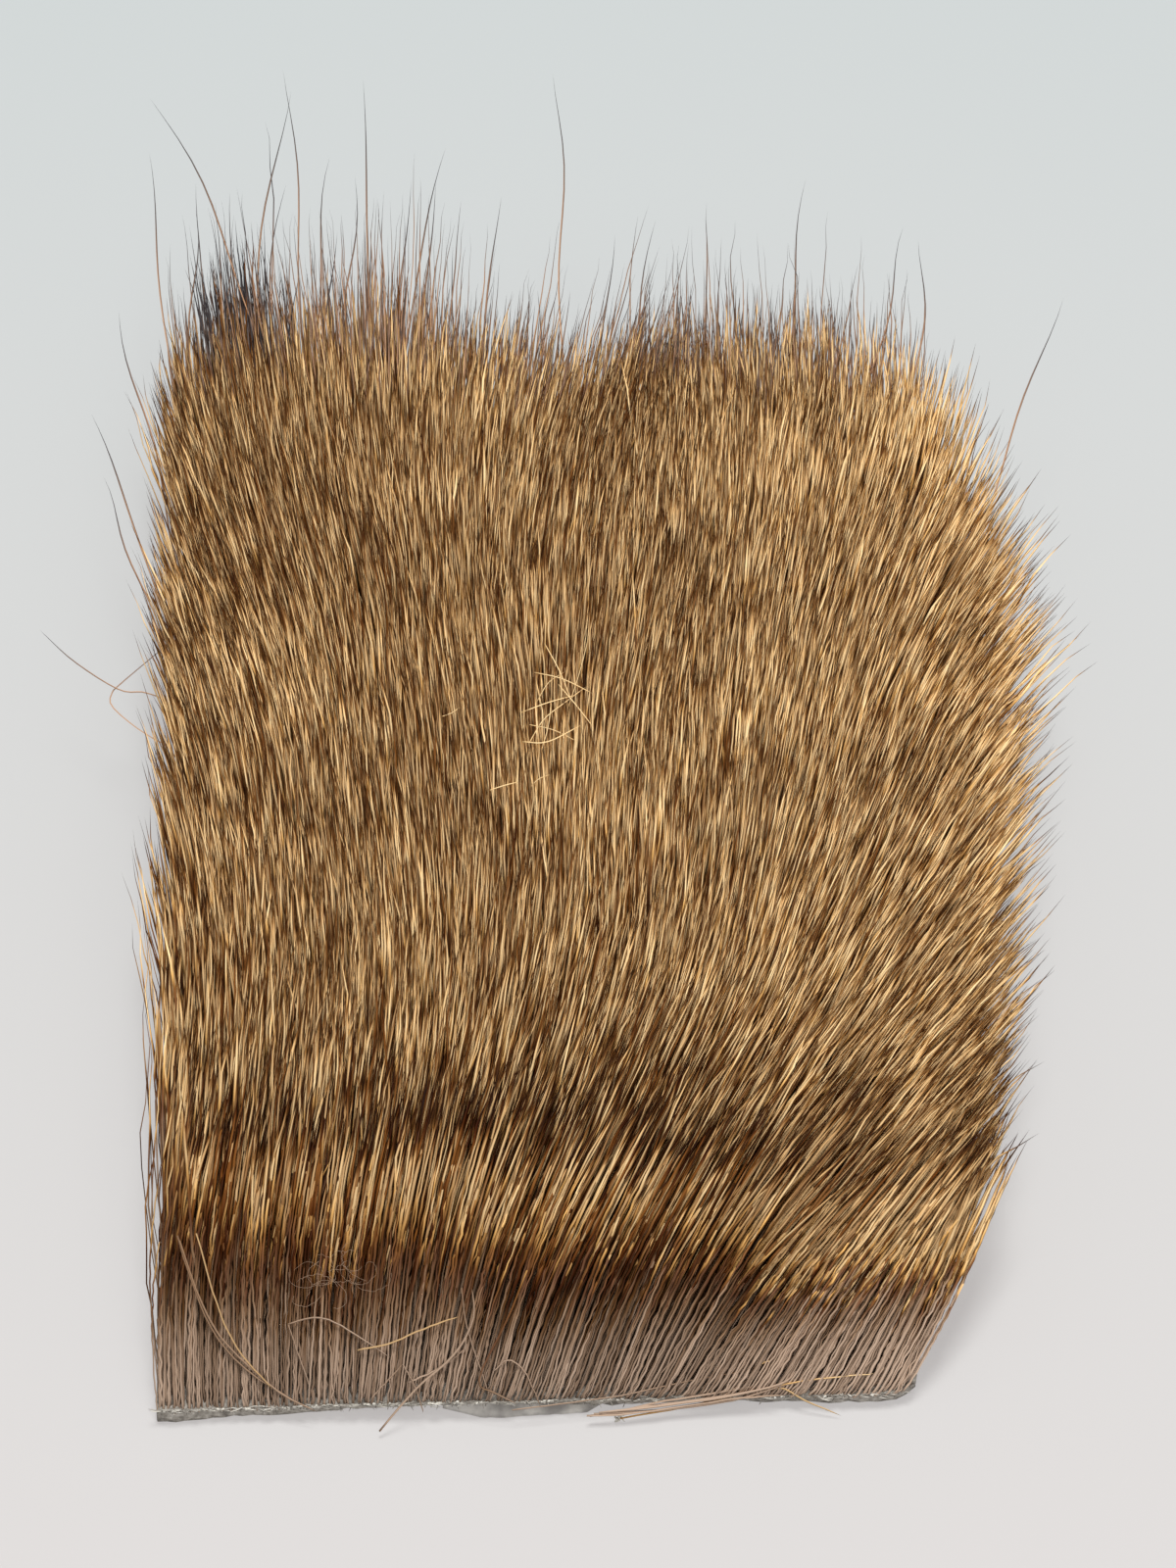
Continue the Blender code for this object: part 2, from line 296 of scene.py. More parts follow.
def strandMesh(name, paths, radii, spin, sideways, tones, places, material):
    # closed three-sided strands in one mesh; the last point of each path is its tip
    count, points = paths.shape[:2]
    rings = points - 1
    tangent = np.empty((count, rings, 3))
    tangent[:, 0] = paths[:, 1] - paths[:, 0]
    tangent[:, 1:] = paths[:, 2:] - paths[:, :-2]
    tangent /= np.linalg.norm(tangent, axis=-1, keepdims=True) + 1e-12
    normal = np.cross(tangent, sideways[:, None, :])
    normal /= np.linalg.norm(normal, axis=-1, keepdims=True) + 1e-12
    side = np.cross(normal, tangent)
    step = 2 * math.pi / 3
    verts = np.empty((count, 3 * rings + 1, 3))
    for k in range(3):
        turn = (spin + k * step)[:, None, None]
        offset = np.cos(turn) * side + np.sin(turn) * normal
        verts[:, k : 3 * rings : 3] = paths[:, :-1] + offset * radii[:, :, None]
    verts[:, -1] = paths[:, -1]

    perHair = 3 * rings + 1
    r = np.arange(rings - 1)[:, None]
    k = np.arange(3)[None, :]
    quads = np.stack([3 * r + k, 3 * r + (k + 1) % 3, 3 * r + 3 + (k + 1) % 3, 3 * r + 3 + k], -1)
    quads = quads.reshape(-1, 4)
    last = 3 * (rings - 1)
    tips = np.array([[last + a, last + (a + 1) % 3, perHair - 1] for a in range(3)])
    corners = np.concatenate([quads.ravel(), tips.ravel(), [2, 1, 0]])
    sizes = np.concatenate([np.full(len(quads), 4), [3, 3, 3, 3]])
    starts = np.concatenate([[0], np.cumsum(sizes)[:-1]])

    width = mapLook["hairWidth"] / 3
    ringOf = (np.repeat(r, 3, 1).reshape(-1, 1) + [0, 0, 1, 1]).ravel()
    across = (np.repeat(k, rings - 1, 0).reshape(-1, 1) + [0, 1, 1, 0]).ravel()
    ringOf = np.concatenate([ringOf, [rings - 1, rings - 1, rings] * 3, [0, 0, 0]])
    across = np.concatenate([across, [0, 1, 0.5, 1, 2, 1.5, 2, 3, 2.5], [3, 1.5, 0]])
    bump = np.zeros(len(across))
    bump[-2] = mapLook["rootFace"]
    tones = np.clip(np.broadcast_to(tones, (count, points)), 0, 1)
    left = mapLook["left"] + mapLook["toneSpan"] * tones
    up = mapLook["low"] + mapLook["lengthSpan"] * np.clip(places[:, ringOf], 0, 1)
    uv = np.empty((count, len(across), 2))
    uv[:, :, 0] = left[:, ringOf] + across * width
    uv[:, :, 1] = up + bump

    mesh = bpy.data.meshes.new(name)
    mesh.vertices.add(count * perHair)
    mesh.vertices.foreach_set("co", verts.ravel())
    loops = (corners[None, :] + perHair * np.arange(count)[:, None]).ravel()
    mesh.loops.add(len(loops))
    mesh.loops.foreach_set("vertex_index", loops.astype(np.int32))
    loopStarts = (starts[None, :] + len(corners) * np.arange(count)[:, None]).ravel()
    mesh.polygons.add(len(loopStarts))
    mesh.polygons.foreach_set("loop_start", loopStarts.astype(np.int32))
    mesh.polygons.foreach_set("use_smooth", np.ones(len(loopStarts), bool))
    mesh.update(calc_edges=True)
    layer = mesh.uv_layers.new(name="OFBake")
    layer.data.foreach_set("uv", uv.ravel())
    mesh.materials.append(material)
    piece = bpy.data.objects.new(name, mesh)
    bpy.context.scene.collection.objects.link(piece)
    return piece


def strandRadius(shares, thickness):
    # a narrow neck at the root, full to past the middle, then a long thin tip
    knots = [0, 0.05, 0.14, 0.60, 0.76, 0.83, 0.88, 0.93, 0.97, 1.0]
    sizes = [0.84, 0.92, 1.0, 1.02, 1.0, 0.80, 0.52, 0.30, 0.16, 0.05]
    return np.interp(shares, knots, sizes) * np.asarray(thickness)[:, None]


def clumpOf(across, along, cell, seed):
    # for each hair the nearest of many scattered clump centres, and that clump's random numbers
    x, y = across * wide, along * deep
    i, j = np.floor(x / cell).astype(int), np.floor(y / cell).astype(int)
    width, length = int(wide / cell) + 4, int(deep / cell) + 4
    table = np.random.default_rng(seed).random((width, length, 5))
    best = np.full(x.shape, 1e9)
    centre = np.zeros(x.shape + (2,))
    draws = np.zeros(x.shape + (3,))
    for di in (-1, 0, 1):
        for dj in (-1, 0, 1):
            own = table[(i + di) % width, (j + dj) % length]
            cx = (i + di + own[..., 0]) * cell
            cy = (j + dj + own[..., 1]) * cell
            apart = (cx - x) ** 2 + (cy - y) ** 2
            near = apart < best
            best = np.where(near, apart, best)
            centre[near] = np.stack([cx, cy], -1)[near]
            draws[near] = own[..., 2:][near]
    centre = np.clip(centre / [wide, deep], 0.004, 0.996)
    return centre[..., 0], centre[..., 1], draws * 2 - 1


# The body coat. Spacing, thickness and lengths in millimetres, angles in degrees.
coat = {
    "seed": 7,
    "spacing": 0.352,
    "jitter": 0.15,
    "fringe": 150,  # more hairs along the very front
    "farThin": 0.42,  # shares of the hairs that are missing at the far right corner
    "backThin": 0.30,  # and along the back
    "thickness": 0.091,
    "thicknessSpread": 0.15,
    "thicknessLimits": (0.068, 0.135),
    # painted shade: the dark hairs that stand for shade lines are drawn thinner
    "shadeLineThin": 0.82,
    "tailThin": 0.60,
    "lengthFront": 20.6,
    "lengthBack": 23.4,
    "lengthSpread": 0.070,
    "lengthLimits": (-0.22, 0.15),
    "frontShort": 1.8,
    "lengthPatches": 0.7,
    "frontPatches": 1.1,
    "rightRagged": 1.9,
    # by how much hairs are shorter at the right rim, how far along, and over what stretch
    "rightTrims": [(2.0, 9, 8), (2.0, 3, 4)],
    "rightTuft": 1.7,  # longer hairs at the right, near the back
    "tailShare": 0.34,  # hairs of the back with a long thin tail
    "tailLength": 3.0,
    "tailMost": 9.0,
    "tailTuft": 1.3,
    "slateLength": 5.2,  # the dark lock at the back left
    "pitchSpread": 1.0,
    "leanSpread": 4.8,
    "fieldPitch": 1.0,  # slow changes from place to place
    "fieldLean": 3.5,
    "clumpCell": 0.95,  # neighbours this near lean together at their tips
    "clumpPull": 0.25,
    "clumpPitch": 1.2,
    "clumpLean": 4.4,
    "lockCell": 3.0,
    "lockPull": 0.12,
    "lockLean": 2.0,
    "strayShare": 0.03,
    "strayPitch": (1, 4),
    "strayLean": (-12, 12),
    "longFlatter": 1.6,
    "wispShare": 0.10,
    "wispLean": (-8, -3),
    "crinkle": 0.042,
    "crinkleWave": 1.30,
    "sway": 0.18,
    "kink": 0.075,
    "weave": 0.17,
    # tones run from 0, all dark bands, to 1, all pale bands
    # painted shade: share and tone of the thin dark hairs that stand for the shade lines between
    # hairs
    "shadeLineShare": 0.28,
    "shadeLineTone": 0.10,
    "paleTone": 0.68,
    "toneSpread": 0.17,
    "fineTone": 0.06,
    "patchTone": 0.12,
    "slateTone": 0.45,
    # places along a hair run from 0 at the root to 1 at the tip
    "innerDark": 0.085,
    "bandSpread": 0.052,
    "slateShift": 0.10,
    "tipFrom": 0.82,
    "tipSpread": 0.035,
    # across, how far the bands move towards the tip at the front
    "frontBand": [(0, 0.05), (0.12, 0.06), (0.25, 0.085), (0.45, 0.11), (0.70, 0.08), (1, 0.05)],
    # across, how much longer the hairs of the back rim are there
    "backRim": [
        (0.00, 0.0), (0.12, 0.4), (0.17, 1.5), (0.22, 0.9), (0.27, 2.6),
        (0.32, 0.0), (0.37, -2.6), (0.42, -1.0), (0.47, -3.2), (0.52, -3.0),
        (0.565, -0.8), (0.61, -2.6), (0.66, -1.4), (0.71, -1.7), (0.76, -0.8),
        (0.81, -1.2), (0.86, -0.3), (0.91, -1.6), (1.00, -1.0),
    ],
}
draw = np.random.default_rng(coat["seed"])
columns, rows = int(wide / coat["spacing"]), int(deep / coat["spacing"])
column, row = np.meshgrid(np.arange(columns), np.arange(rows), indexing="ij")
rootX = (column + 0.5 + 0.5 * (row % 2) - 0.25) * wide / columns
rootY = (row + 0.5) * deep / rows
jitter = coat["jitter"]
rootX = np.clip(rootX + draw.uniform(-jitter, jitter, rootX.shape), 0.15, 49.85).ravel()
rootY = np.clip(rootY + draw.uniform(-jitter, jitter, rootY.shape), 0.06, 74.8).ravel()
fringeX = np.linspace(0.2, 48.6, coat["fringe"])
rootX = np.concatenate([rootX, fringeX + draw.uniform(-0.12, 0.12, coat["fringe"])])
rootY = np.concatenate([rootY, draw.uniform(0.04, 0.22, coat["fringe"])])
# the coat is sparse at the far right corner, bare at the front right one, and thins out behind
thin = (rootX > 44.5) & (rootY > 56) & (draw.random(rootX.shape) < coat["farThin"])
thin |= rootX > 48.9 + 0.9 * rootY
thin |= (rootY > 72.6) & (draw.random(rootX.shape) < coat["backThin"])
rootX, rootY = rootX[~thin], rootY[~thin]
across, along = rootX / wide, rootY / deep
total = len(across)

# lengths: shorter at the front, ragged at the right rim, with long tails and locks at the back
lengths = coat["lengthFront"] + (coat["lengthBack"] - coat["lengthFront"]) * along
lengths = lengths - coat["frontShort"] * fadeOut(rootY, 10)
uneven = coat["lengthSpread"] * (1 + fadeOut(rootY, 6))
lengths = lengths * (1 + np.clip(draw.normal(0, 1, total) * uneven, *coat["lengthLimits"]))
lengths -= coat["rightRagged"] * fadeIn(rootX, 46.5, 3) * draw.random(total)
for trim, place, stretch in coat["rightTrims"]:
    lengths -= trim * fadeIn(rootX, 43.5, 5) * bell(rootY, place, stretch)
lengths += coat["rightTuft"] * fadeIn(rootX, 45, 3) * bell(rootY, 62, 8)
lengths = lengths + coat["lengthPatches"] * softNoise(rootX, rootY, 4.0, 21)
lengths = lengths + coat["frontPatches"] * softNoise(rootX, rootY, 2.3, 25) * fadeOut(rootY, 9, 1.2)
hasTail = draw.random(total) < coat["tailShare"]
backTail = np.where(hasTail, draw.exponential(coat["tailLength"], total), 0)
backTail *= 1 + coat["tailTuft"] * bell(across, 0.27, 0.07)
backTail = np.clip(backTail, 0, coat["tailMost"]) * fadeIn(rootY, 66, 5)
backRim = readTable(coat["backRim"], 1, across) * fadeIn(rootY, 64, 6)
lengths = lengths + backTail + backRim
lengths = lengths + coat["slateLength"] * bell(rootX, 4.5, 2.0) * fadeIn(rootY, 68, 4)


def pitchField(x, y):
    # how the coat rises and falls from place to place
    return coat["fieldPitch"] * softNoise(x, y, 5.0, 22)


def leanField(x, y):
    # how the combing wavers from place to place
    return coat["fieldLean"] * softNoise(x, y, 4.0, 23)


# angles of each hair, over what the combing gives
pitchTurn = draw.normal(0, coat["pitchSpread"], total) + pitchField(rootX, rootY)
leanTurn = draw.normal(0, coat["leanSpread"], total) + leanField(rootX, rootY)
stray = draw.random(total) < coat["strayShare"]
pitchTurn = np.where(stray, pitchTurn + draw.uniform(*coat["strayPitch"], total), pitchTurn)
pitchTurn -= coat["longFlatter"] * np.clip(lengths - 23.0, 0, 3)  # a longer hair lies flatter
leanTurn = np.where(stray, leanTurn + draw.uniform(*coat["strayLean"], total), leanTurn)
frontHold = np.clip(rootY / 2.0, 0.50, 1)  # the cut front row stands in line
pitchTurn *= frontHold
leanTurn *= frontHold
leanTurn = np.where(rootX < 1.6, np.clip(leanTurn, -2.5, 9), leanTurn)
leanTurn += 2.5 * fadeOut(rootX, 2) * fadeOut(rootY, 20, 1.6)
leanTurn = np.where(rootX > 48.4, np.clip(leanTurn, -9, 4.0), leanTurn)
wisp = (rootX < 1.2) & (draw.random(total) < coat["wispShare"])  # thin hairs off the left side
leanTurn = np.where(wisp, draw.uniform(*coat["wispLean"], total), leanTurn)

# tones: thin dark hairs paint the shade lines between the pale ones, and both rims are lighter;
# painted light makes the right side and the back lighter, painted shade the left and the front
# darker
# painted shade: more dark hairs at the front left, which lies in shade
shadeLineDraw = draw.random(total) - 0.07 * fadeOut(rootY, 9) * (across < 0.66)
# painted light: fewer dark hairs at the right rim, where the light falls
shadeLineDraw = shadeLineDraw + 0.10 * fadeIn(rootX, 43, 5)
# painted shade: these thin dark hairs stand in for the shade in the gaps between the pale hairs
shadeLineHair = shadeLineDraw < coat["shadeLineShare"]
toneOf = np.where(shadeLineHair, coat["shadeLineTone"], coat["paleTone"])
toneOf = toneOf + draw.normal(0, coat["toneSpread"], total)
fineTone = coat["fineTone"] * softNoise(rootX, rootY, 2.2, 31)
toneOf += fineTone + coat["patchTone"] * softNoise(rootX, rootY, 6.0, 32)
# painted light and shade: the right half lighter and the left darker, as the light falls from the
# right
toneOf += np.where(across > 0.5, 0.17, 0.07) * np.clip((across - 0.5) * 2, -1, 1)
darkLock = bell(rootX, 4.8, 2.6) * fadeIn(rootY, 67, 4)  # the slate lock at the back left
toneOf -= coat["slateTone"] * darkLock
toneOf += 0.27 * np.clip((across - 0.68) * 6, 0, 1) * fadeOut(rootY, 10, 1.25)
toneOf += 0.16 * fadeIn(rootX, 46, 3) + 0.10 * fadeOut(rootX, 2)
# painted light at the back and painted shade at the front left
toneOf += 0.06 * fadeIn(rootY, 46, 12)
toneOf -= 0.08 * np.clip((0.6 - across) * 6, 0, 1) * fadeOut(rootY, 8)

# where the bands sit: in the cut row the gold starts almost in line
bandShift = draw.normal(0, coat["bandSpread"], total) + 0.024 * softNoise(rootX, rootY, 3.0, 33)
bandShift += 0.014 * softNoise(rootX, rootY, 1.1, 34)
bandShift *= np.clip(0.5 + rootY / 4, 0.5, 1)
frontBand = readTable(coat["frontBand"], 1, across)
bandShift += (frontBand + 0.02) * fadeOut(rootY, 9) - 0.02
bandShift += coat["slateShift"] * darkLock
# how dark the front is: the right front goes straight over from grey into gold
browned = 1 - np.clip((across - 0.60) * 6, 0, 1) * fadeOut(rootY, 6, 1.6)
tipStart = draw.normal(0, 1, total) * (coat["tipSpread"] + 0.025 * fadeOut(rootY, 9))

tail = backTail > 0.8
thickness = coat["thickness"] * (1 + draw.normal(0, coat["thicknessSpread"], total))
thickness = np.clip(thickness, *coat["thicknessLimits"])
thickness *= np.where(shadeLineHair & (rootY > 2), coat["shadeLineThin"], 1.0)
thickness *= 1 + 0.05 * fadeOut(rootY, 4)
thickness = np.where(tail | wisp, thickness * coat["tailThin"], thickness)
spin = draw.uniform(0, 2 * math.pi, total)
wavePhase = draw.uniform(0, 2 * math.pi, (total, 3))
waveSize = draw.uniform(0.3, 1.4, total)
print("coat planned,", total, "hairs")


def dressHair(piece):
    # every hair piece rides on the patch and stands for the coat solid
    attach(piece, "root")
    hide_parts("hair_coat")
    triangles = sum(len(face.vertices) - 2 for face in piece.data.polygons)
    print(piece.name, triangles, "triangles")
    return piece


def gatheredPaths(pick, shares):
    # the picked hairs, drawn together in fine clumps and again in wider locks
    inCut = rootY[pick] < 0.40  # the front row grows at the cut, and leans out over it first
    lift = np.where(inCut, 0.00088, 0.0012)[:, None]
    reach = lengths[pick] * mm
    own = hairPath(across[pick], along[pick], shares, reach, pitchTurn[pick], leanTurn[pick], lift)
    clumpX, clumpY, clumpDraw = clumpOf(across[pick], along[pick], coat["clumpCell"], 41)
    clumpPitch = coat["clumpPitch"] * clumpDraw[:, 0] + pitchField(clumpX * wide, clumpY * deep)
    clumpLean = coat["clumpLean"] * clumpDraw[:, 1] + leanField(clumpX * wide, clumpY * deep)
    clump = hairPath(clumpX, clumpY, shares, reach, clumpPitch, clumpLean)
    lockX, lockY, lockDraw = clumpOf(across[pick], along[pick], coat["lockCell"], 42)
    lock = hairPath(lockX, lockY, shares, reach, 0, coat["lockLean"] * lockDraw[:, 1])
    hold = np.where(stray[pick], 0.2, 1.0)[:, None, None]
    pull = (shares**2.1)[None, :, None] * hold
    inner = np.clip(np.minimum(rootX[pick], wide - rootX[pick]) / 3, 0, 1)[:, None, None]
    path = own + (clump - own) * coat["clumpPull"] * pull
    path += (lock - own) * coat["lockPull"] * pull * inner
    return path


def crinkleHairs(path, pick, shares, sideways):
    # the crinkle of the hollow lower shaft, which fades out before the gold band
    coarse = len(shares) < 20  # too few rings for a crinkle, so these hairs get kinks
    run = shares * coat["lengthFront"] / coat["crinkleWave"] * 2 * math.pi
    fade = np.clip(shares / 0.04, 0, 1) * np.clip((0.80 - shares) / 0.3, 0.25, 1)
    size = coat["crinkle"] * mm * waveSize[pick][:, None] * fade
    phase = wavePhase[pick]
    slow = run[None, :] * (0.80 + 0.4 * phase[:, 2:] / 6.28)
    wave = np.sin(slow + phase[:, :1]) + 0.5 * np.sin(1.7 * slow + phase[:, 1:2])
    sway = np.sin(shares * 7.5 + phase[:, 1:2]) - np.sin(phase[:, 1:2])
    sway = sway * coat["sway"] * mm * shares * frontHold[pick][:, None]
    roll = np.random.default_rng(len(path))
    kinks = roll.normal(0, coat["kink"] * mm, path.shape[:2])
    if coarse:
        sway += kinks * np.clip(shares * 3, 0, 1)
    path += (size * wave + sway)[:, :, None] * sideways[:, None, :]
    path[:, :, 2] += size * 0.6 * np.cos(slow * 0.9 + phase[:, 1:2])

    # the hairs weave over and under each other, which cuts them into short strokes to the eye
    if coarse:
        weave = roll.normal(0, 1, path.shape[:2])
    else:
        turns = run[None, :] * 0.45 * (0.8 + 0.5 * phase[:, :1] / 6.28)
        weave = np.sin(turns + phase[:, 2:]) * 1.5
    weave = weave * coat["weave"] * mm * np.clip((shares - 0.3) * 4, 0, 1)
    path[:, :, 2] += weave * 0.8
    path[:, :, 1] -= weave * 0.6 * fadeOut(rootY[pick], 4)[:, None]
    hang = np.interp(shares, [0, 0.05, 0.14, 0.30, 0.6, 1], [0.06, 0.56, 0.72, 0.50, 0.15, 0]) * mm
    path[:, :, 1] -= fadeOut(rootY[pick], 1, 1.4)[:, None] * hang


def bandPlaces(pick, shares, rosy):
    # where each ring of a hair stands in the colour bands, and the tone it has there
    front = fadeOut(rootY[pick], 10)[:, None]
    scale = 1 - coat["frontShort"] / coat["lengthFront"] * front
    body = shares * scale - coat["innerDark"] * (1 - front) * np.clip(shares * 2, 0, 1)
    # at the right front the grey goes straight over into gold, with hardly a dark band
    skipped = np.interp(body, [0, 0.37, 0.47, 0.64, 1], [0, 0.33, 0.61, 0.68, 1])
    body = body + (skipped - body) * (1 - browned[pick])[:, None] * 0.9
    back = fadeIn(rootY[pick], 64, 6)[:, None]
    # painted shade over the front, where the light falls least
    frontShade = front * browned[pick][:, None]
    # the front hairs have the longest dark tips, the back ones the shortest: partly their own tips,
    # partly painted shade at the front and painted light at the back
    tipFrom = coat["tipFrom"] - 0.09 * frontShade + 0.08 * back
    tipFrom = tipFrom + (tipStart + 0.04 * fadeIn(rootX, 45, 4))[pick][:, None]
    tipFrom = np.minimum(tipFrom, 0.95)
    toTip = fadeIn(shares, tipFrom, 1 - tipFrom) ** (1.3 - 0.5 * frontShade)
    places = body * (1 - toTip) + toTip  # bands sit at a length, not a share
    if rosy:
        places = shares * 0.93 + 0.13 * darkLock[pick][:, None]
    places += bandShift[pick][:, None] * 4 * shares * (1 - shares)
    # the duller front gold is partly the hairs' own colour and partly painted shade
    gold = fadeIn(places, 0.58, 0.10)  # the front shows a duller gold than the rest
    dullAndShade = 0.27 * front + 0.24 * (1 - browned[pick])[:, None]
    return places, toneOf[pick][:, None] * (1 - dullAndShade * gold)


def coatStrands(name, pick, shares, material=deerHair):
    # the picked hairs with rings at these shares of their length
    shares = np.array(shares, float)
    lean = np.radians(hairLean(across[pick], along[pick]))
    sideways = np.stack([np.cos(lean), -np.sin(lean), np.zeros(len(lean))], -1)
    path = gatheredPaths(pick, shares)
    crinkleHairs(path, pick, shares, sideways)
    radii = strandRadius(shares[:-1][None, :], thickness[pick] * mm)
    places, tones = bandPlaces(pick, shares, material is guardHair)
    dressHair(strandMesh(name, path, radii, spin[pick], sideways, tones, places, material))


# how far along and across the blocks of the coat reach (millimetres)
blocks = {"cutRows": 1.3, "front": 4.4, "back": 71.0, "left": 2.2, "right": 47.8, "rosyFrom": 72.2}
frontRows = rootY < blocks["cutRows"]
frontBlock = (rootY >= blocks["cutRows"]) & (rootY < blocks["front"])
backBlock = (rootY > blocks["back"]) & ~tail
middle = (rootY >= blocks["front"]) & (rootY <= blocks["back"]) & ~tail
leftBlock = middle & (rootX < blocks["left"])
rightBlock = middle & (rootX > blocks["right"])
inside = middle & ~leftBlock & ~rightBlock
greyLock = backBlock & (darkLock > 0.30) & (spin < 4.6)
rosy = backBlock & ~greyLock & (rootY > blocks["rosyFrom"]) & (spin < 2.6)

# where the rings of a hair stand, in shares of its length
crinkled = [*np.linspace(0, 0.62, 22), *np.linspace(0.655, 1.0, 9)]
curved = [0, 0.08, 0.17, 0.26, 0.35, 0.44, 0.53, 0.62, 0.72, 0.81, 0.90, 1.0]
plainFull = [0, 0.13, 0.28, 0.43, 0.57, 0.70, 0.81, 0.90, 1.0]
plainTail = [0, 0.13, 0.28, 0.43, 0.57, 0.70, 0.80, 0.88, 0.95, 1.0]
plainTop = [0.50, 0.69, 0.81, 0.90, 1.0]  # from inside the underwool up
coatStrands("front_rows", frontRows, crinkled)
coatStrands("front_block", frontBlock, curved)
coatStrands("left_side", leftBlock, plainFull)
coatStrands("right_side", rightBlock, plainFull)
coatStrands("back_rim", backBlock & ~greyLock & ~rosy, plainFull)
coatStrands("back_rim_rosy", rosy, plainFull, guardHair)
coatStrands("slate_lock", greyLock, plainFull, guardHair)
coatStrands("rim_tails", tail, plainTail, guardHair)
parts = [blocks["front"], 21.0, 37.7, 54.4, 71.1]
for label, start, end in zip(("near", "fore", "mid", "far"), parts, parts[1:]):
    coatStrands("coat_" + label, inside & (rootY >= start) & (rootY < end), plainTop)

# The hide itself: a sheet cut from the tanned skin, with a rough cut all round
hideLook = {
    "columns": 80,
    "rows": 60,
    "fray": 0.00016,
    "frayCell": 0.35,
    "cutSteps": 3,
    "rimWidth": 0.00025,
    "frontWidth": 0.0008,
    "waviness": 0.00006,
    "waveCell": 0.004,
    "noiseSeed": 1795665628,  # unseeded, the noise would start from the clock
    # across, how far the knife's slant sets the foot of the front cut back, how much it thinned it
    "slant": [
        (0.00, 0.0000, 0.0000), (0.12, 0.0001, 0.0001), (0.28, 0.0004, 0.0003),
        (0.42, 0.0005, 0.0004), (0.58, 0.0003, 0.0003), (0.75, 0.0004, 0.0002),
        (1.00, 0.0001, 0.0000),
    ],
}


def newGrid(name, columns, rows):
    bpy.ops.object.select_all(action="DESELECT")
    bpy.ops.mesh.primitive_grid_add(x_subdivisions=columns, y_subdivisions=rows, size=1.0)
    grid = bpy.context.active_object
    grid.name = name
    return grid


def thicken(sheet, thickness):
    bpy.ops.object.modifier_add(type="SOLIDIFY")
    solidify = sheet.modifiers[-1]
    solidify.thickness = thickness
    solidify.offset = 1.0
    bpy.ops.object.modifier_apply(modifier=solidify.name)


def hideSheet():
    hide = newGrid("hide_sheet", hideLook["columns"], hideLook["rows"])
    points = np.array([v.co for v in hide.data.vertices])
    placed = hidePoint(points[:, 0] + 0.5, points[:, 1] + 0.5)
    hide.data.vertices.foreach_set("co", placed.ravel())
    thicken(hide, patch["thickness"])

    # the upright edges of the rim are cut into steps, so that the cut can be roughened
    bpy.ops.object.mode_set(mode="EDIT")
    bpy.ops.mesh.select_mode(type="EDGE")
    bpy.ops.mesh.select_all(action="DESELECT")
    bpy.ops.object.mode_set(mode="OBJECT")
    verts = hide.data.vertices
    for edge in hide.data.edges:
        a, b = (verts[k].co for k in edge.vertices)
        edge.select = abs(a.z - b.z) > 0.6 * patch["thickness"]
    bpy.ops.object.mode_set(mode="EDIT")
    bpy.ops.mesh.subdivide(number_cuts=hideLook["cutSteps"])
    bpy.ops.object.mode_set(mode="OBJECT")

    # roughen: outwards and in at the cut, faintly up and down on both faces
    noise.seed_set(hideLook["noiseSeed"])
    rim = hide.data.attributes.new("cutEdge", "FLOAT", "POINT")
    halfWidth, halfLength = patch["width"] / 2, patch["length"] / 2
    cell = hideLook["frayCell"] * mm
    edgeShare = []
    for vert in hide.data.vertices:
        x, y, z = vert.co
        along = np.clip(y / patch["length"] + 0.5, 0, 1)
        left = -halfWidth - readTable(patch["sideEdges"], 1, along)
        right = halfWidth + readTable(patch["sideEdges"], 2, along)
        across = np.clip((x - left) / (right - left), 0, 1)
        front = hidePoint(across, np.float64(0))[1]
        inset = min(x - left, right - x, y - front, halfLength - y)
        atRim = max(0.0, 1 - inset / hideLook["rimWidth"])
        height = (z - hidePoint(across, along)[2]) / patch["thickness"]
        edgeShare.append(max(atRim, np.clip(height * 2 - 1, 0, 1)))
        atFront = max(0.0, 1 - (y - front) / hideLook["frontWidth"])
        vert.co.y += readTable(hideLook["slant"], 1, across) * (1 - height) * atFront
        vert.co.y += cornerCut(across) * (1.2 - 0.4 * height) * atFront
        vert.co.z -= readTable(hideLook["slant"], 2, across) * height * atFront
        rough = noise.noise_vector(Vector((x, y, z)) / cell)
        fine = noise.noise_vector(Vector((x, y, z)) / cell * 2.3 + Vector((9, 4, 2)))
        push = (rough + fine * 0.5) * hideLook["fray"] * atRim
        underside = 0.0 if z < 0.0002 else 1.0
        wave = noise.noise(Vector((x, y, 0)) / hideLook["waveCell"]) * hideLook["waviness"]
        vert.co.x += push.x
        vert.co.y += push.y
        vert.co.z += (push.z * 0.7 + wave) * underside
    rim.data.foreach_set("value", edgeShare)
    bpy.ops.object.shade_smooth()
    return hide


def dressHide(piece):
    # what is skin rides on the patch and stands for the hide solid
    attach(piece, "root")
    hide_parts("hide")
    print(piece.name, len(piece.data.polygons), "faces")
    return piece


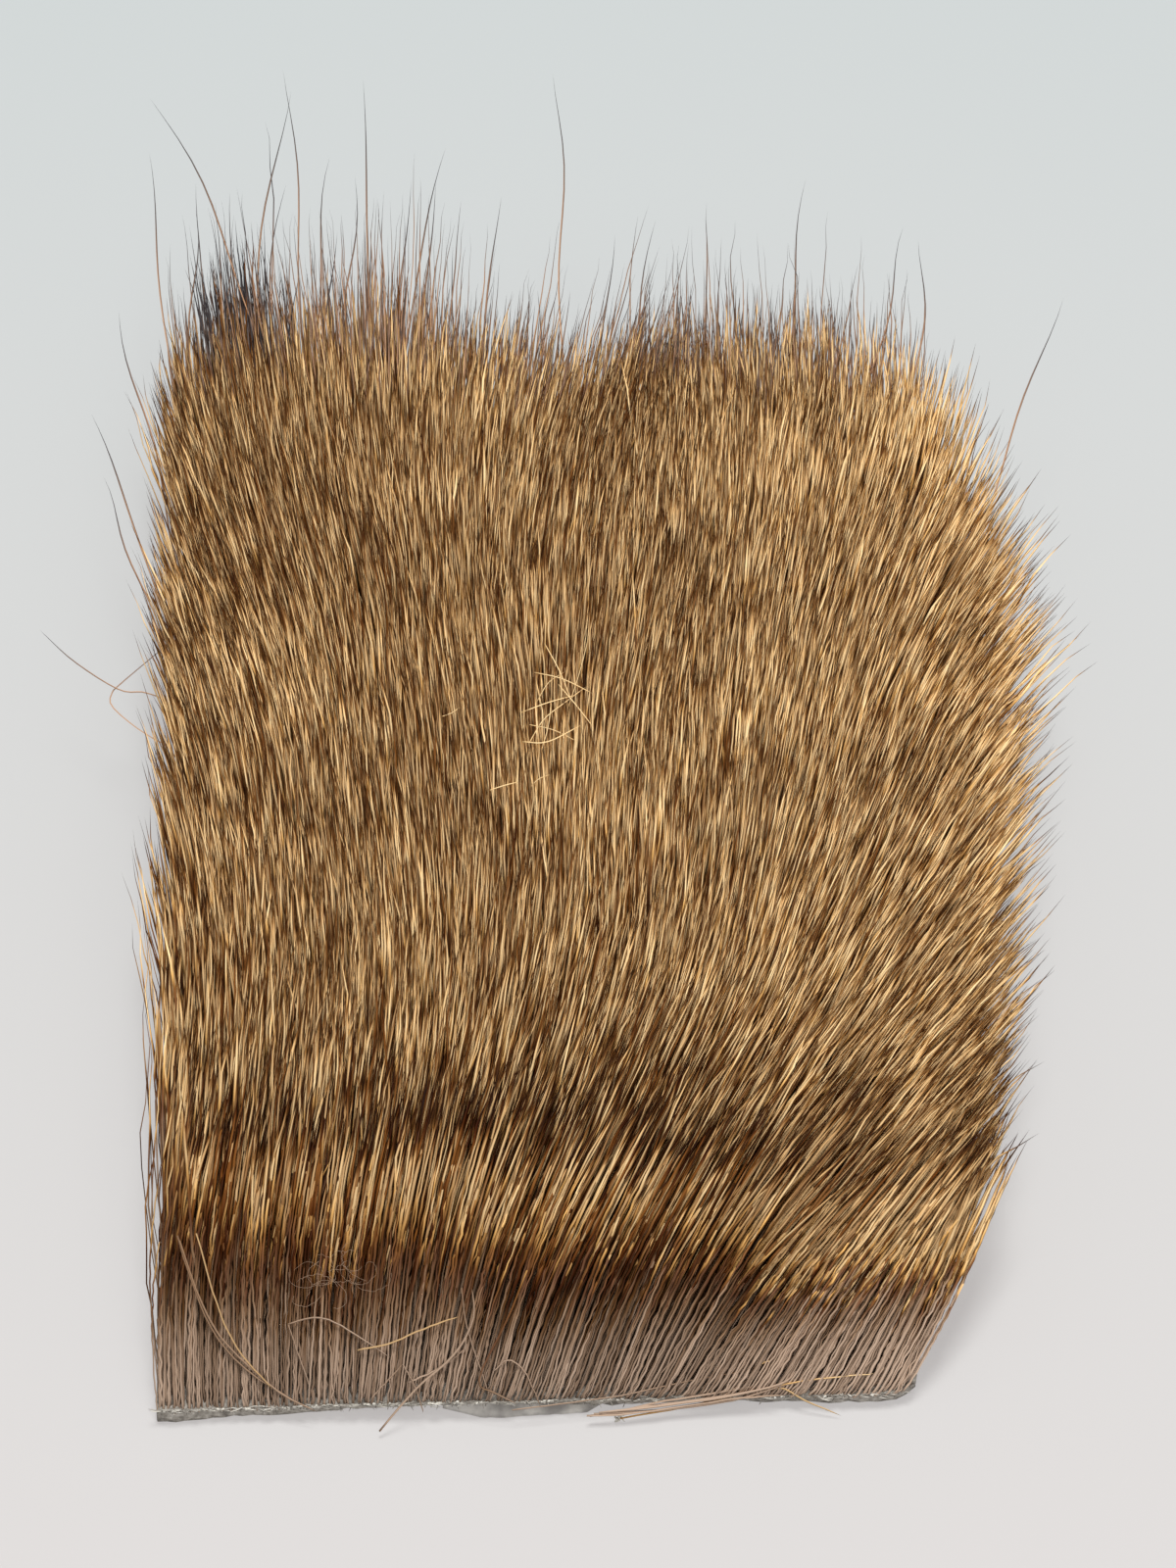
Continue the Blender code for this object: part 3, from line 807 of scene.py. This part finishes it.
# Brain-tanned deerskin: a pale fibrous flesh side, and a grey cut that has dried hard and dull.
# Blotches about 8 mm wide, nap about 1 mm, and crumbs of less than half a millimetre in the cut.
suede, tree, shader = newMaterial("tannedDeerskin", {"Specular IOR Level": 0.3})
place = addNode(tree, "TexCoord").outputs["Object"]
nap = addNode(tree, "TexNoise", {"Vector": place, "Scale": 900.0, "Detail": 4.0}).outputs["Fac"]
blotch = addNode(tree, "TexNoise", {"Vector": place, "Scale": 120.0, "Detail": 2.0})
crumbs = addNode(tree, "TexNoise", {"Vector": place, "Scale": 2600.0, "Detail": 3.0})
fleshTones = [(0.32, "#A99D8C"), (0.5, "#C2B7A5"), (0.68, "#D6CDBD")]
cutTones = [(0.34, "#6E6963"), (0.48, "#8F8A82"), (0.60, "#A5A098"), (0.72, "#C2BEB6")]
flesh = addNode(tree, "ValToRGB", {"Fac": blotch.outputs["Fac"]}, stops=fleshTones)
cut = addNode(tree, "ValToRGB", {"Fac": crumbs.outputs["Fac"]}, stops=cutTones)
rimShare = addNode(tree, "Attribute", attribute_name="cutEdge")
skinMix = {0: rimShare.outputs["Fac"], 6: flesh.outputs["Color"], 7: cut.outputs["Color"]}
skin = addNode(tree, "Mix", skinMix, data_type="RGBA")
napBump = addNode(tree, "Bump", {"Height": nap, "Strength": 0.5, "Distance": 0.00012})
napShine = addNode(tree, "MapRange", {"Value": nap, "To Min": 0.75, "To Max": 0.95})
setSockets(tree, shader, {"Base Color": skin.outputs[2], "Normal": napBump.outputs["Normal"]})
setSockets(tree, shader, {"Roughness": napShine.outputs["Result"]})

hide = dressHide(hideSheet())
paint(hide, suede)

# The dense underwool that fills the coat below the tips, kept inside the outer hairs
wool = {
    "columns": 34,
    "rows": 44,
    "levels": 4,
    "length": 0.0215,
    "height": 0.56,
    "inset": 2.4,
    "lift": 0.00012,
    "lumps": 0.0006,
    "lumpCell": 2.0,
}


def woolBody():
    body = newGrid("under_wool", wool["columns"], wool["rows"])
    bpy.ops.object.mode_set(mode="EDIT")
    bpy.ops.mesh.select_all(action="SELECT")
    for _ in range(wool["levels"]):
        bpy.ops.mesh.extrude_region_move(
            TRANSFORM_OT_translate={"value": (0, 0, 1 / wool["levels"])}
        )
    bpy.ops.mesh.select_all(action="SELECT")
    bpy.ops.mesh.normals_make_consistent(inside=False)
    bpy.ops.object.mode_set(mode="OBJECT")
    points = np.array([v.co for v in body.data.vertices])
    marginX, marginY = wool["inset"] / wide, wool["inset"] * 1.5 / deep
    u = marginX + (points[:, 0] + 0.5) * (1 - 2 * marginX)
    v = marginY + (points[:, 1] + 0.5) * (1 - 2 * marginY)
    level = np.round(points[:, 2] * wool["levels"]).astype(int)
    shares = np.linspace(0, wool["height"], wool["levels"] + 1)
    placed = hairPath(u, v, shares, wool["length"])[np.arange(len(points)), level]
    lump = softNoise(placed[:, 0] * 1000, placed[:, 1] * 1000, wool["lumpCell"], 51)
    placed[:, 2] += wool["lift"] + lump * wool["lumps"] * points[:, 2]
    body.data.vertices.foreach_set("co", placed.ravel())
    body.data.update()
    bpy.ops.object.shade_smooth()
    return body


# Underwool of a deer, matted as it grew: very fine wool, its dark brown partly the hairs' own dark
# band and partly painted shade that swallows the light between hairs.
# Fibres about half a millimetre apart, six times as long as they are wide: coarser than real ones.
woolShadeFelt, tree, shader = newMaterial("deerUnderwoolShade", {"Roughness": 0.95})
place = addNode(tree, "TexCoord").outputs["Object"]
drawnOut = addNode(tree, "Mapping", {"Vector": place, "Scale": (1.0, 0.16, 0.5)})
fluffLook = {"Vector": drawnOut.outputs["Vector"], "Scale": 2200.0, "Detail": 4.0}
fluff = addNode(tree, "TexNoise", fluffLook).outputs["Fac"]
# painted shade: the wool's colours are those of the shade deep in the coat
woolShadeTones = [(0.35, "#260F05"), (0.52, "#3E1C0A"), (0.66, "#683C1A")]
woolShades = addNode(tree, "ValToRGB", {"Fac": fluff}, stops=woolShadeTones)
woolBump = addNode(tree, "Bump", {"Height": fluff, "Strength": 0.8, "Distance": 0.0003})
setSockets(tree, shader, {"Base Color": woolShades.outputs["Color"]})
setSockets(tree, shader, {"Normal": woolBump.outputs["Normal"]})
core = woolBody()
paint(core, woolShadeFelt)
dressHair(core)

# Single hairs that left the lay


def smoothLine(points, count):
    # a smooth curve through the given points, read at even steps
    points = np.array(points, float)
    ends = np.concatenate([[2 * points[0] - points[1]], points, [2 * points[-1] - points[-2]]])
    at = np.linspace(0, len(points) - 1 - 1e-9, count)
    k = at.astype(int)
    t = (at - k)[:, None]
    a, b, c, d = ends[k], ends[k + 1], ends[k + 2], ends[k + 3]
    curve = b * 2 + (c - a) * t + (2 * a - 5 * b + 4 * c - d) * t**2
    return 0.5 * (curve + (3 * b - a - 3 * c + d) * t**3)


def singleHairs(name, lines, seed, material=deerHair, dress=dressHair):
    # lines: points in metres, root first, then thickness, tone, the map places of both ends, and
    # how even the thickness stays (1 all along, 0 a natural tip)
    count = len(lines[0][0])
    paths = np.array([line[0] for line in lines])
    heading = paths[:, -1] - paths[:, 0]
    sideways = np.cross(heading, [0.0, 0.0, 1.0]) + [1e-6, 0, 0]
    sideways /= np.linalg.norm(sideways, axis=-1, keepdims=True)
    shares = np.linspace(0, 1, count)
    taper = np.array([line[5] for line in lines])[:, None]
    thick = np.array([line[1] for line in lines]) * mm
    radii = strandRadius(shares[None, :-1], thick) * (1 - taper) + thick[:, None] * taper
    tones = np.array([line[2] for line in lines])[:, None]
    places = np.array([line[3] + (line[4] - line[3]) * shares for line in lines])
    turn = np.random.default_rng(seed).uniform(0, 6.28, len(lines))
    piece = strandMesh(name, paths, radii, turn, sideways, tones, places, material)
    return dress(piece)


# What the blade left along the front of the hide: torn fibres along the top of the cut, crumbs, and
# a whitish knot that holds the loose hairs. Each kind has the limits of its length and radius in
# millimetres, and of its tone.
frayLook = {
    "seed": 91,
    "fibres": 520,
    "crumbs": 170,
    "cornerCrumbs": 46,
    "knot": 14,
    "knotAt": (5.44, -37.55, 0.55),
    "alongShare": 0.75,
    "crumb": [(0.12, 0.34), (0.05, 0.12), (0.4, 1)],
    "along": [(0.3, 1.1), (0.02, 0.05), (0.3, 1)],
    "hanging": [(0.25, 0.7), (0.02, 0.045), (0.1, 0.8)],
    "corner": [(0.15, 0.45), (0.05, 0.13), (0, 0.75)],
    "knotBit": [(0.2, 0.5), (0.05, 0.09), (0.7, 1)],
}
# Skin fibre, torn dry: grey to whitish, dull
dry = {"Roughness": 0.9, "Specular IOR Level": 0.2}
skinFibre, tree, shader = newMaterial("deerskinFibre", dry)
fibreTones = [(0.0, "#6C6660"), (0.35, "#918C85"), (0.7, "#B9B5AC"), (1.0, "#DCD9D0")]
fibreTone = addNode(tree, "ValToRGB", {"Fac": strandCoords(tree)["X"]}, stops=fibreTones)
setSockets(tree, shader, {"Base Color": fibreTone.outputs["Color"]})


def edgeFray():
    roll = np.random.default_rng(frayLook["seed"])
    lines = []

    def addFibre(kind, start, heading):
        # a short bent fibre of four points (millimetres)
        length, thick, tone = (roll.uniform(low, high) for low, high in frayLook[kind])
        heading = np.array(heading) / np.linalg.norm(heading)
        bow = roll.normal(0, 0.12, 3) * length
        share = np.linspace(0, 1, 4)[:, None]
        line = np.array(start) + heading * length * share + bow * share * (1 - share) * 2
        line[:, 2] = np.maximum(line[:, 2], thick + 0.02)
        lines.append((line * mm, thick, tone, 0.0, 1.0, 0.8))

    for number in range(frayLook["fibres"] + frayLook["crumbs"]):
        across = np.float64(roll.uniform(0.004, 0.985))
        x, y, z = hidePoint(across, np.float64(0)) / mm
        top = z + 1.3 - readTable(hideLook["slant"], 2, across) / mm
        y += cornerCut(across) / mm
        start = (x, y - 0.05, top + roll.normal(0.0, 0.07))
        aside = roll.choice([-1, 1])
        if number < frayLook["crumbs"]:
            addFibre("crumb", start, (aside, roll.uniform(-0.8, 0.2), roll.uniform(-0.7, 0.7)))
        elif roll.random() < frayLook["alongShare"]:
            addFibre("along", start, (aside, roll.uniform(-0.3, 0.1), roll.uniform(-0.25, 0.25)))
        else:
            addFibre("hanging", start, (aside * 0.3, -0.25, -1))
    for _ in range(frayLook["cornerCrumbs"]):
        back = roll.uniform(0, 2.8)
        start = (25.1 - roll.uniform(0, 1.9) * (1 - back / 3.6), -37.3 + 1.6 + back, 1.3)
        addFibre("corner", start, roll.normal(0, 1, 3) * [1, 1, 0.5])
    for _ in range(frayLook["knot"]):
        start = np.array(frayLook["knotAt"]) + roll.normal(0, 0.10, 3) * [1, 0.6, 1.8]
        addFibre("knotBit", start, roll.normal(0, 1, 3))
    singleHairs("edge_fray", lines, 92, skinFibre, dressHide)


edgeFray()

# A thin grey film of dried membrane that hangs out below the front cut (millimetres)
filmLook = {"from": -6.2, "to": 4.4, "hang": 0.80, "ripple": 0.08, "thickness": 0.05, "seed": 95}


def membraneFilm():
    film = newGrid("membrane_film", 30, 4)
    ripple = np.random.default_rng(filmLook["seed"]).uniform(-1, 1, 40)
    for vert in film.data.vertices:
        share, depth = vert.co.x + 0.5, vert.co.y + 0.5
        x = filmLook["from"] + (filmLook["to"] - filmLook["from"]) * share
        edge = hidePoint(np.float64(x / wide + 0.5), np.float64(0)) / mm
        bulge = min(1, share * 4) * min(1, (1 - share) * 9)
        wave = np.interp(share * 20, np.arange(40), ripple)
        front = edge[1] + 0.55 - (filmLook["hang"] + filmLook["ripple"] * wave) * bulge
        y = front + (edge[1] + 0.9 - front) * depth
        z = 0.06 + (edge[2] + 0.12) * depth**0.8 + 0.03 * wave * (1 - depth)
        vert.co = np.array([x, y, z]) * mm
    thicken(film, filmLook["thickness"] * mm)
    bpy.ops.object.shade_smooth()
    return film


# Dried membrane of a skin: thin, grey and slightly glossy like parchment, clouded every millimetre
sheen = {"Roughness": 0.55, "Specular IOR Level": 0.3}
parchment, tree, shader = newMaterial("driedMembrane", sheen)
place = addNode(tree, "TexCoord").outputs["Object"]
clouds = addNode(tree, "TexNoise", {"Vector": place, "Scale": 700.0, "Detail": 3.0})
filmTones = [(0.38, "#8C8986"), (0.62, "#BEBBB6")]
filmTone = addNode(tree, "ValToRGB", {"Fac": clouds.outputs["Fac"]}, stops=filmTones)
setSockets(tree, shader, {"Base Color": filmTone.outputs["Color"]})
film = dressHide(membraneFilm())
paint(film, parchment)

# Guard hairs: where each is rooted across and along, length in millimetres, lean, and how it curls
guards = {
    "seed": 62,
    "rootPitch": 28.5,
    "tipPitch": 11,
    "stretch": 1.11,
    "thickness": 0.078,
    "wander": 0.35,
    "hairs": [
        (0.172, 0.97, 39.3, -19, -19), (0.099, 0.97, 38.2, 1, 14), (0.184, 0.97, 39.9, -5, 2),
        (0.266, 0.97, 39.1, -3, 0), (0.282, 0.97, 33.9, 6, 15), (0.003, 0.97, 33.5, -8, 1),
        (0.529, 0.97, 39.6, -1, 0), (0.399, 0.97, 29.9, 3, 6), (0.608, 0.97, 28.1, 5, 4),
        (0.806, 0.97, 31.3, 7, 0), (0.903, 0.97, 28.0, 13, 3), (0.173, 0.97, 33.0, 1, 11),
        (0.316, 0.97, 31.1, 2, 7), (0.278, 0.97, 31.1, 2, 8), (0.219, 0.97, 31.4, 0, 7),
        (0.089, 0.97, 30.3, -5, 3), (0.015, 0.97, 29.0, -3, 8), (0.112, 0.97, 30.9, 0, 10),
        (0.379, 0.97, 26.1, -2, -1), (0.561, 0.97, 26.9, 4, 5), (0.969, 0.97, 26.7, 9, -14),
        (1.000, 0.80, 32.5, 22, -12), (0.000, 0.86, 27.4, -14, -2), (0.000, 0.74, 26.6, -19, -10),
        (0.000, 0.70, 24.0, -19, -12),
    ],
}


def guardHairs():
    steps = 20
    lines = []
    roll = np.random.default_rng(guards["seed"])
    for across, along, length, lean, curl in guards["hairs"]:
        share = (np.arange(steps) + 0.5) / steps
        pitch = guards["rootPitch"] + (guards["tipPitch"] - guards["rootPitch"]) * share
        pitch, turn = np.radians(pitch), np.radians(lean + curl * (share - 0.5))
        heading = [np.cos(pitch) * np.sin(turn), np.cos(pitch) * np.cos(turn), np.sin(pitch)]
        length = length * guards["stretch"] * mm
        walk = np.cumsum(np.stack(heading, -1) * length / steps, 0)
        root = hidePoint(np.array(across), np.array(along)) + [0, 0, 0.0012]
        path = np.concatenate([[root], root + walk])
        place = np.linspace(0, 1, steps + 1)
        bend = np.sin(place * roll.uniform(9, 14) + roll.uniform(0, 6)) * place
        path[:, 0] += bend * guards["wander"] * mm * roll.uniform(0.4, 1.4)
        lines.append((path, guards["thickness"], 0.45, 0.0, 1.0, 0.0))
    return singleHairs("guard_hairs", lines, 61, guardHair)


guardHairs()


# Hairs that came loose in front of the coat: points in thousandths across and up along a front
# hair, then thickness, tone, map places of both ends
looseHairs = {
    "seed": 71,
    "hairLength": 20.5,
    "stand": 0.42,
    "lowest": 0.12,
    "fuzz": 16,
    "fuzzRadius": 0.012,
    "hairs": [
        ([(29, 566), (47, 429), (74, 269), (118, 134), (200, -7)], 0.085, 0.62, 0.4, 0.3),
        ([(32, 550), (62, 349), (95, 211), (162, 57), (214, -20)], 0.075, 0.7, 0.38, 0.27),
        ([(54, 569), (83, 331), (112, 188), (156, 61)], 0.065, 0.34, 0.7, 0.71),
        ([(175, 272), (202, 287), (229, 277), (264, 226), (312, 145)], 0.07, 0.75, 0.3, 0.2),
        ([(175, 272), (186, 192), (198, 107), (202, 74)], 0.06, 0.62, 0.3, 0.2),
        ([(266, 178), (309, 199), (359, 245), (400, 276)], 0.065, 0.38, 0.7, 0.73),
        ([(294, -87), (342, 48), (394, 159), (418, 273), (416, 364)], 0.09, 0.72, 0.18, 0.32),
        ([(283, 20), (303, 74), (325, 131)], 0.055, 0.6, 0.25, 0.3),
        ([(333, 69), (373, 110), (407, 172)], 0.07, 0.72, 0.15, 0.3),
        ([(488, 418), (460, 256), (425, 75), (445, 32), (476, -8)], 0.075, 0.66, 0.6, 0.25),
        ([(444, 101), (464, 135), (486, 92), (506, -23)], 0.06, 0.66, 0.15, 0.3),
        ([(570, -56), (621, -34), (698, -11), (772, 16), (857, 55), (942, 72)],
         0.095, 0.8, 0.05, 0.3),
        ([(582, -43), (672, -20), (748, 6), (820, 46), (842, 90)], 0.085, 0.8, 0.05, 0.25),
        ([(610, -64), (699, -28), (810, 32), (853, -12), (902, -65)], 0.075, 0.5, 0.63, 0.72),
        ([(622, -44), (724, -15), (801, 98)], 0.065, 0.6, 0.2, 0.3),
        ([(566, -52), (620, -46), (690, -26), (770, 2), (830, 10)], 0.08, 0.9, 0.05, 0.28),
        ([(468, -30), (530, -12), (610, 14), (700, 58), (790, 95)], 0.06, 0.7, 0.1, 0.4),
        ([(785, 98), (802, 118), (822, 128)], 0.05, 0.9, 0.62, 0.74),
        ([(800, 30), (850, 55), (900, 68), (945, 74)], 0.055, 0.85, 0.62, 0.72),
        ([(575, -48), (660, -38), (740, -14), (800, 22), (845, 66)], 0.09, 0.85, 0.08, 0.28),
        ([(600, -50), (650, -18), (720, 10), (790, 40)], 0.08, 0.75, 0.08, 0.3),
        ([(639, 262), (653, 301), (665, 344)], 0.06, 0.75, 0.3, 0.6),
        ([(685, 414), (696, 454), (708, 499)], 0.06, 0.75, 0.3, 0.62),
        ([(860, 72), (870, 168), (880, 242)], 0.07, 0.75, 0.1, 0.3),
        ([(873, 236), (890, 292), (931, 360)], 0.06, 0.75, 0.3, 0.6),
        ([(325, 131), (341, 55), (352, -32)], 0.055, 0.66, 0.2, 0.3),
        ([(402, 367), (410, 235), (439, 16)], 0.06, 0.62, 0.35, 0.2),
    ],
}


def wallPoint(across, share, stand):
    # a point this far in front of the hairs of the cut front row (millimetres)
    root, tip = np.radians(lay["rootPitch"]), np.radians(lay["tipPitch"])
    pitch = root + (tip - root) * share
    size = looseHairs["hairLength"] * mm / (tip - root)
    run = size * (np.sin(pitch) - np.sin(root))
    rise = size * (np.cos(root) - np.cos(pitch))
    place = hidePoint(across, np.float64(0)) + [0, run, rise + 0.0012]
    place = place + np.array([0, -np.sin(pitch), np.cos(pitch)]) * stand * mm
    place[2] = max(place[2], looseHairs["lowest"] * mm)
    return place


def looseFront():
    roll = np.random.default_rng(looseHairs["seed"])
    lines = []
    for points, thick, tone, low, high in looseHairs["hairs"]:
        stand = looseHairs["stand"] + roll.uniform(-0.1, 0.2)
        fine = smoothLine([wallPoint(a / 1000, s / 1000, stand) for a, s in points], 17)
        fine += roll.normal(0, 0.014 * mm, fine.shape)
        fine[:, 2] = np.maximum(fine[:, 2], looseHairs["lowest"] * mm)
        lines.append((fine, thick, tone, low, high, 0.55))
    singleHairs("loose_front_hairs", lines, 72)


def woolFuzz():
    # very fine pale curls of underwool caught on the front
    roll = np.random.default_rng(looseHairs["seed"] + 2)
    lines = []
    for _ in range(looseHairs["fuzz"]):
        a, s = roll.uniform(0.17, 0.285), roll.uniform(0.34, 0.48)
        size, turn, wind = roll.uniform(0.010, 0.022), roll.uniform(0, 6.28), roll.uniform(2.5, 6.5)
        drift = roll.uniform(-0.03, 0.03, 2)
        points = []
        for t in np.linspace(0, 1, 12):
            angle = turn + wind * t
            du = size * np.cos(angle) + drift[0] * t
            ds = size * 2.2 * np.sin(angle) + drift[1] * t
            points.append(wallPoint(a + du, s + ds, looseHairs["stand"] + 0.1 * np.sin(9 * t)))
        fine = smoothLine(points, 25) + roll.normal(0, 0.03 * mm, (25, 3))
        lines.append((fine, looseHairs["fuzzRadius"], 0.6, 0.22, 0.30, 0.9))
    singleHairs("wool_fuzz", lines, 74)


looseFront()
woolFuzz()

# A tuft of thin broken hairs lying on the coat, and a few chips (x, y in millimetres)
brokenHairs = {
    "seed": 81,
    "height": 13.9,
    "setBack": -0.9,
    "radius": (0.036, 0.052),
    "tuft": [
        [(-1.3, 13.3), (0.6, 13.9), (2.7, 14.8)],
        [(-0.7, 10.4), (0.3, 12.7), (1.8, 14.2), (3.4, 15.9)],
        [(-0.4, 16.8), (1.6, 15.9), (3.8, 14.8)],
        [(0.3, 19.6), (1.4, 16.8), (2.3, 13.9)],
        [(3.4, 20.3), (2.8, 16.8), (1.9, 13.1)],
        [(-1.2, 10.4), (0.6, 10.0), (3.1, 12.0)],
        [(-0.7, 12.0), (1.0, 11.8), (2.7, 10.7)],
        [(0.8, 14.0), (0.6, 11.8), (0.1, 9.3)],
        [(1.3, 15.4), (2.7, 13.3), (3.7, 11.5)],
        [(-0.2, 14.4), (0.6, 15.9), (1.8, 17.2)],
        [(-0.6, 6.8), (0.0, 7.2), (0.8, 7.6)],
        [(-3.4, 5.6), (-2.4, 6.1), (-1.4, 6.6)],
        [(-6.8, 12.7), (-6.2, 13.3), (-5.6, 13.7)],
    ],
    # hairs that stand off the left side: points from the coat outwards (x, y, z), and radius
    "sideLoops": [
        (
            [(-26.4, 16.8, 9.2), (-28.3, 18.5, 8.8), (-30.3, 18.9, 8.7), (-33.7, 21.3, 9.1),
             (-36.2, 23.4, 10.1)],
            0.055,
        ),
        (
            [(-26.4, 13.3, 8.8), (-27.3, 14.1, 8.6), (-29.2, 15.9, 8.3), (-30.8, 17.8, 8.2),
             (-30.8, 18.9, 8.3), (-30.3, 19.4, 8.6), (-27.7, 21.8, 9.3), (-26.7, 22.8, 9.5)],
            0.05,
        ),
    ],
    "loopRoot": [2.6, -3.0, -2.4],  # from a loop's first point down into the coat
}


def brokenTuft():
    roll = np.random.default_rng(brokenHairs["seed"])
    lines = []
    for points in brokenHairs["tuft"]:
        level = brokenHairs["height"] + roll.uniform(-0.25, 0.35)
        sag = roll.uniform(-0.35, 0.2, len(points))
        line = [(x, y + brokenHairs["setBack"], level + s) for (x, y), s in zip(points, sag)]
        radius = roll.uniform(*brokenHairs["radius"])
        lines.append((smoothLine(line, 11) * mm, radius, 0.9, 0.66, 0.80, 0.6))
    singleHairs("broken_tuft", lines, 82)


def sideLoops():
    lines = []
    for points, radius in brokenHairs["sideLoops"]:
        start = np.array(points[0]) + brokenHairs["loopRoot"]
        lines.append((smoothLine([start] + points, 24) * mm, radius, 0.4, 0.0, 0.95, 0.2))
    singleHairs("side_loops", lines, 84, guardHair)


brokenTuft()
sideLoops()

# Floor, light and camera. The floor glows a little, which keeps its shadows as faint as they are.
stageLook = {
    "floorSize": 3.0,
    "floorNear": "#848383",
    "floorFar": "#6C7A7C",
    "floorGlow": "#E0DBDA",
    "floorGlowStrength": 0.517,
    "world": "#F2F2F2",
    "worldStrength": 0.46,
    "keyPower": 9.8,
    "fillPower": 3.2,
    "cameraPlace": (0.00338, -0.2177, 0.2801),
    "cameraTilt": 40,
    "cameraView": 17.77,  # how much the camera sees from top to bottom, in degrees
    "cameraSensor": 24.0,
}
bpy.ops.object.select_all(action="DESELECT")
bpy.ops.mesh.primitive_plane_add(size=stageLook["floorSize"], location=(0, 0, 0))
floor = bpy.context.active_object
floor.name = "floor"
# Matt studio paper that also glows, painted light that lifts its shadows; a little warmer in front,
# darker and bluer at the back: painted falloff of the light
# painted light: the floor glows though it is no lamp
glow = {
    "Emission Color": srgb(stageLook["floorGlow"]),
    "Emission Strength": stageLook["floorGlowStrength"],
}
glowingFloorPaper, tree, shader = newMaterial("glowingFloorPaper", {"Roughness": 0.9, **glow})
place = addNode(tree, "TexCoord").outputs["Object"]
depth = addNode(tree, "SeparateXYZ", {"Vector": place}).outputs["Y"]
# painted falloff: the paper darkens and cools from front to back
paintedFalloff = addNode(tree, "MapRange", {"Value": depth, "From Min": -0.06, "From Max": 0.12})
paintedFalloffTones = [(0.0, stageLook["floorNear"]), (1.0, stageLook["floorFar"])]
paper = addNode(tree, "ValToRGB", {"Fac": paintedFalloff.outputs["Result"]}, stops=paintedFalloffTones)
setSockets(tree, shader, {"Base Color": paper.outputs["Color"]})
floor.data.materials.append(glowingFloorPaper)

world = bpy.data.worlds.new("softRoom")
bpy.context.scene.world = world
world.use_nodes = True
room = {"Color": srgb(stageLook["world"]), "Strength": stageLook["worldStrength"]}
setSockets(world.node_tree, world.node_tree.nodes["Background"], room)


def softBox(name, place, size, power, code):
    bpy.ops.object.light_add(type="AREA", location=place)
    lamp = bpy.context.active_object
    lamp.name = name
    lamp.data.shape = "SQUARE"
    lamp.data.size = size
    lamp.data.energy = power
    lamp.data.color = srgb(code)[:3]
    lamp.rotation_euler = (Vector((0, 0, 0)) - Vector(place)).to_track_quat("-Z", "Y").to_euler()


softBox("keyBox", (0.02, 0.12, 1.0), 0.30, stageLook["keyPower"], "#FFFDFA")
softBox("fillBox", (0.16, -0.60, 0.64), 0.7, stageLook["fillPower"], "#FFFAF5")

cameraData = bpy.data.cameras.new("camera")
cameraData.sensor_fit = "VERTICAL"
cameraData.sensor_height = stageLook["cameraSensor"]
halfView = math.radians(stageLook["cameraView"]) / 2
cameraData.lens = stageLook["cameraSensor"] / (2 * math.tan(halfView))
camera = bpy.data.objects.new("camera", cameraData)
camera.location = stageLook["cameraPlace"]
camera.rotation_euler = (math.radians(stageLook["cameraTilt"]), 0, 0)
bpy.context.scene.collection.objects.link(camera)
bpy.context.scene.camera = camera
print("stage set")

bpy.context.scene.view_settings.view_transform = "Standard"
